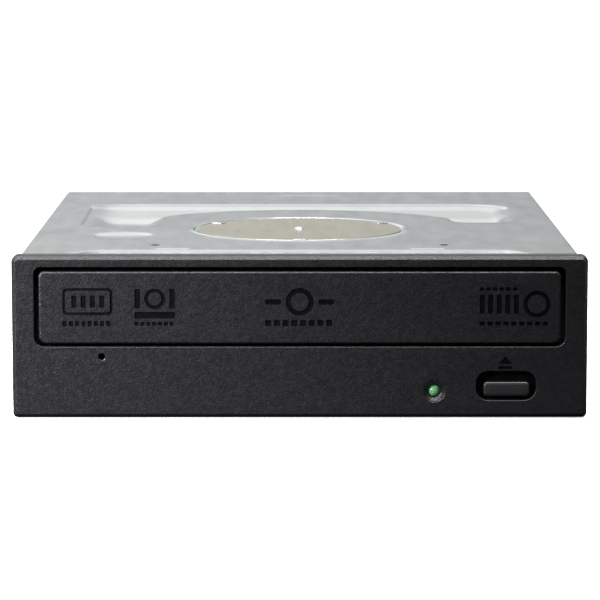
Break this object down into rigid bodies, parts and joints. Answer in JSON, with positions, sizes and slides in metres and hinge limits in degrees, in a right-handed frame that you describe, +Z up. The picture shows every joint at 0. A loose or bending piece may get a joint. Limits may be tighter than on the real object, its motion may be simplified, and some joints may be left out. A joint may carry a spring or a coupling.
{
  "type": "optical disc drive",
  "caption": "Half-height tray-loading optical disc drive for a computer bay: folded steel case, black bezel, motorised tray, clamper, spindle and laser pickup.",
  "frame": {"origin": "middle of the footprint, on the underside of the case", "axes": "+X to the right seen from the front, +Y from the bezel to the rear, +Z up"},
  "size_m": [0.1488, 0.18, 0.0423],
  "materials": {
    "cover_steel": "satin",
    "cap_steel": "satin",
    "plain_steel": "satin",
    "screw_steel": "polished",
    "shaft_steel": "polished",
    "motor_steel": "satin",
    "bezel_plastic": "fine grain",
    "dark_plastic": "matte",
    "tray_plastic": "matte",
    "switch_plastic": "matte",
    "connector_plastic": "matte",
    "white_plastic": "matte",
    "ivory_plastic": "matte",
    "red_plastic": "matte",
    "led_resin": "gloss",
    "tin": "satin",
    "felt": "matte",
    "belt_rubber": "matte",
    "damper_rubber": "matte",
    "circuit_board": "solder mask",
    "chip_resin": "matte",
    "can_aluminium": "satin",
    "gold_contacts": "polished",
    "flex_white": "satin",
    "flex_amber": "satin",
    "copper_winding": "satin",
    "magnet": "matte",
    "cast_metal": "cast",
    "lens_glass": "coated"
  },
  "bodies": {
    "case": {"top_cover": "cover_steel", "bottom_cover": "cover_steel", "clamper_cap": "cap_steel", "front_bezel": "bezel_plastic", "status_led": "led_resin", "led_leads": "tin", "dust_felt": "felt", "main_frame": "dark_plastic", "clamp_bridge": "plain_steel", "bridge_screws": "screw_steel", "case_screws": "screw_steel", "loading_motor": "motor_steel", "drive_belt": "belt_rubber", "gear_pins": "shaft_steel", "front_board": "circuit_board", "eject_switch": "switch_plastic", "position_switch": "switch_plastic", "front_flex": "flex_white", "main_board": "circuit_board", "board_chips": "chip_resin", "board_capacitors": "can_aluminium", "board_connectors": "ivory_plastic", "board_screws": "screw_steel", "sata_connector": "connector_plastic", "sata_contacts": "gold_contacts"},
    "tray": {"disc_tray": "tray_plastic", "tray_door": "bezel_plastic"},
    "eject_key": {"eject_button": "bezel_plastic"},
    "switch_stem": {"switch_plunger": "red_plastic"},
    "tray_drive": {"tray_gear": "white_plastic"},
    "pulley_drive": {"pulley_gear": "white_plastic"},
    "motor_rotor": {"motor_pulley": "white_plastic", "motor_shaft": "shaft_steel"},
    "slider": {"cam_slider": "white_plastic"},
    "traverse": {"sub_chassis": "dark_plastic", "traverse_plate": "plain_steel", "dampers": "damper_rubber", "damper_screws": "screw_steel", "guide_rods": "shaft_steel", "rod_holders": "dark_plastic", "spindle_base": "circuit_board", "spindle_stator": "copper_winding", "sled_motor": "motor_steel", "screw_bracket": "plain_steel", "pickup_flex": "flex_amber"},
    "spindle": {"rotor_can": "motor_steel", "rotor_magnet": "magnet", "spindle_shaft": "shaft_steel", "turntable": "dark_plastic", "turntable_pad": "belt_rubber", "centring_hub": "dark_plastic"},
    "screw_drive": {"lead_screw": "shaft_steel"},
    "pickup": {"pickup_body": "cast_metal", "pickup_cover": "plain_steel", "lead_nut": "white_plastic"},
    "lens": {"lens_holder": "dark_plastic", "objective_lenses": "lens_glass"},
    "clamper": {"clamp_puck": "white_plastic", "clamp_yoke": "plain_steel"}
  },
  "joints": [
    {"name": "tray_slide", "type": "slide", "parent": "case", "child": "tray", "axis": [0, -1, 0], "range_m": [0, 0.135]},
    {"name": "tray_gear_spin", "type": "hinge", "parent": "case", "child": "tray_drive", "pos_m": [-0.0288, -0.066, 0.0225], "axis": [0, 0, 1], "range_deg": [-10, 976.87]},
    {"name": "pulley_gear_spin", "type": "hinge", "parent": "case", "child": "pulley_drive", "pos_m": [-0.008, -0.066, 0.021], "axis": [0, 0, 1], "range_deg": [-3242.89, 20]},
    {"name": "motor_spin", "type": "hinge", "parent": "case", "child": "motor_rotor", "pos_m": [0.024, -0.066, 0.019], "axis": [0, 0, 1], "range_deg": [-13427.06, 60]},
    {"name": "cam_slide", "type": "slide", "parent": "case", "child": "slider", "axis": [1, 0, 0], "range_m": [0, 0.012]},
    {"name": "traverse_lift", "type": "hinge", "parent": "case", "child": "traverse", "pos_m": [0, 0.066, 0.017], "axis": [1, 0, 0], "range_deg": [-0.1, 4.1]},
    {"name": "spindle_spin", "type": "hinge", "parent": "traverse", "child": "spindle", "pos_m": [0, -0.0175, 0.03], "axis": [0, 0, 1], "continuous": true},
    {"name": "clamper_spin", "type": "hinge", "parent": "case", "child": "clamper", "pos_m": [0, -0.0175, 0.037], "axis": [0, 0, 1], "continuous": true},
    {"name": "sled_slide", "type": "slide", "parent": "traverse", "child": "pickup", "axis": [0, 1, 0], "range_m": [0, 0.036]},
    {"name": "lead_screw_spin", "type": "hinge", "parent": "traverse", "child": "screw_drive", "pos_m": [0.0365, 0, 0.0172], "axis": [0, 1, 0], "range_deg": [-10, 4330]},
    {"name": "lens_focus", "type": "slide", "parent": "pickup", "child": "lens", "axis": [0, 0, 1], "range_m": [-0.0004, 0.0004]},
    {"name": "eject_press", "type": "slide", "parent": "case", "child": "eject_key", "axis": [0, 1, 0], "range_m": [0, 0.0006]},
    {"name": "switch_press", "type": "slide", "parent": "case", "child": "switch_stem", "axis": [0, 1, 0], "range_m": [0, 0.0007]}
  ],
  "couplings": [
    {"joint": "tray_gear_spin", "follows": "tray_slide", "rad_per_m": 125},
    {"joint": "pulley_gear_spin", "follows": "tray_slide", "rad_per_m": -416.67},
    {"joint": "motor_spin", "follows": "tray_slide", "rad_per_m": -1728.1},
    {"joint": "traverse_lift", "follows": "cam_slide", "rad_per_m": 5.8178},
    {"joint": "clamper_spin", "follows": "spindle_spin", "ratio": 1},
    {"joint": "lead_screw_spin", "follows": "sled_slide", "rad_per_m": 2094.4},
    {"joint": "switch_press", "follows": "eject_press", "ratio": 1}
  ]
}
